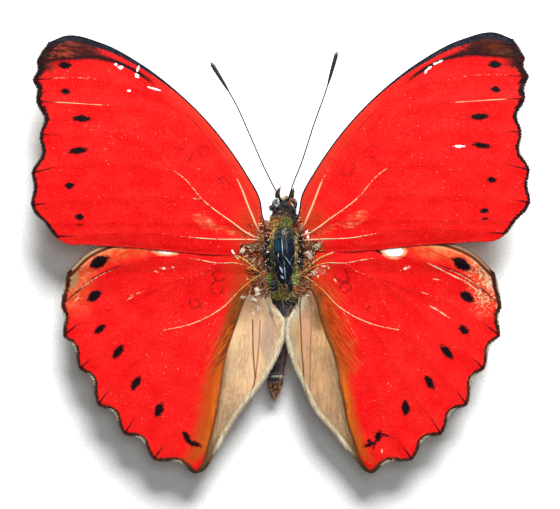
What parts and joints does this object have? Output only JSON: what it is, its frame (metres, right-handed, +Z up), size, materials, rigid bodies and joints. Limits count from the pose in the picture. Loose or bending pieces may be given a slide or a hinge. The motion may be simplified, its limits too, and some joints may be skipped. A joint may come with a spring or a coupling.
{
  "type": "butterfly specimen",
  "caption": "Life-size still model of a spread blood-red glider butterfly, wings open flat, antennae forward, resting on its feet.",
  "frame": {"origin": "on the floor under the middle of the box round the whole specimen", "axes": "+X to the butterfly's right seen from above with the head up the page, across the spread; +Y towards the head; +Z up"},
  "size_m": [0.0662, 0.0587, 0.0077],
  "materials": {
    "wing": "powdery satin scales, blood red with black spots",
    "head": "matte, haired",
    "eye": "glossy",
    "antenna": "satin",
    "palp": "furry, matte",
    "proboscis": "satin",
    "thorax": "olive and golden fur round a dark glossy shield",
    "abdomen": "matte, finely haired",
    "leg": "satin, finely scaled"
  },
  "bodies": {
    "root": {"head": "head", "eye_left": "eye", "eye_right": "eye", "antenna_left": "antenna", "antenna_right": "antenna", "palp_left": "palp", "palp_right": "palp", "proboscis": "proboscis", "prothorax": "thorax", "thorax": "thorax", "abdomen": "abdomen", "forewing_left": "wing", "forewing_right": "wing", "hindwing_left": "wing", "hindwing_right": "wing", "foreleg_left": "leg", "foreleg_right": "leg", "midleg_left": "leg", "midleg_right": "leg", "hindleg_left": "leg", "hindleg_right": "leg"}
  },
  "joints": []
}
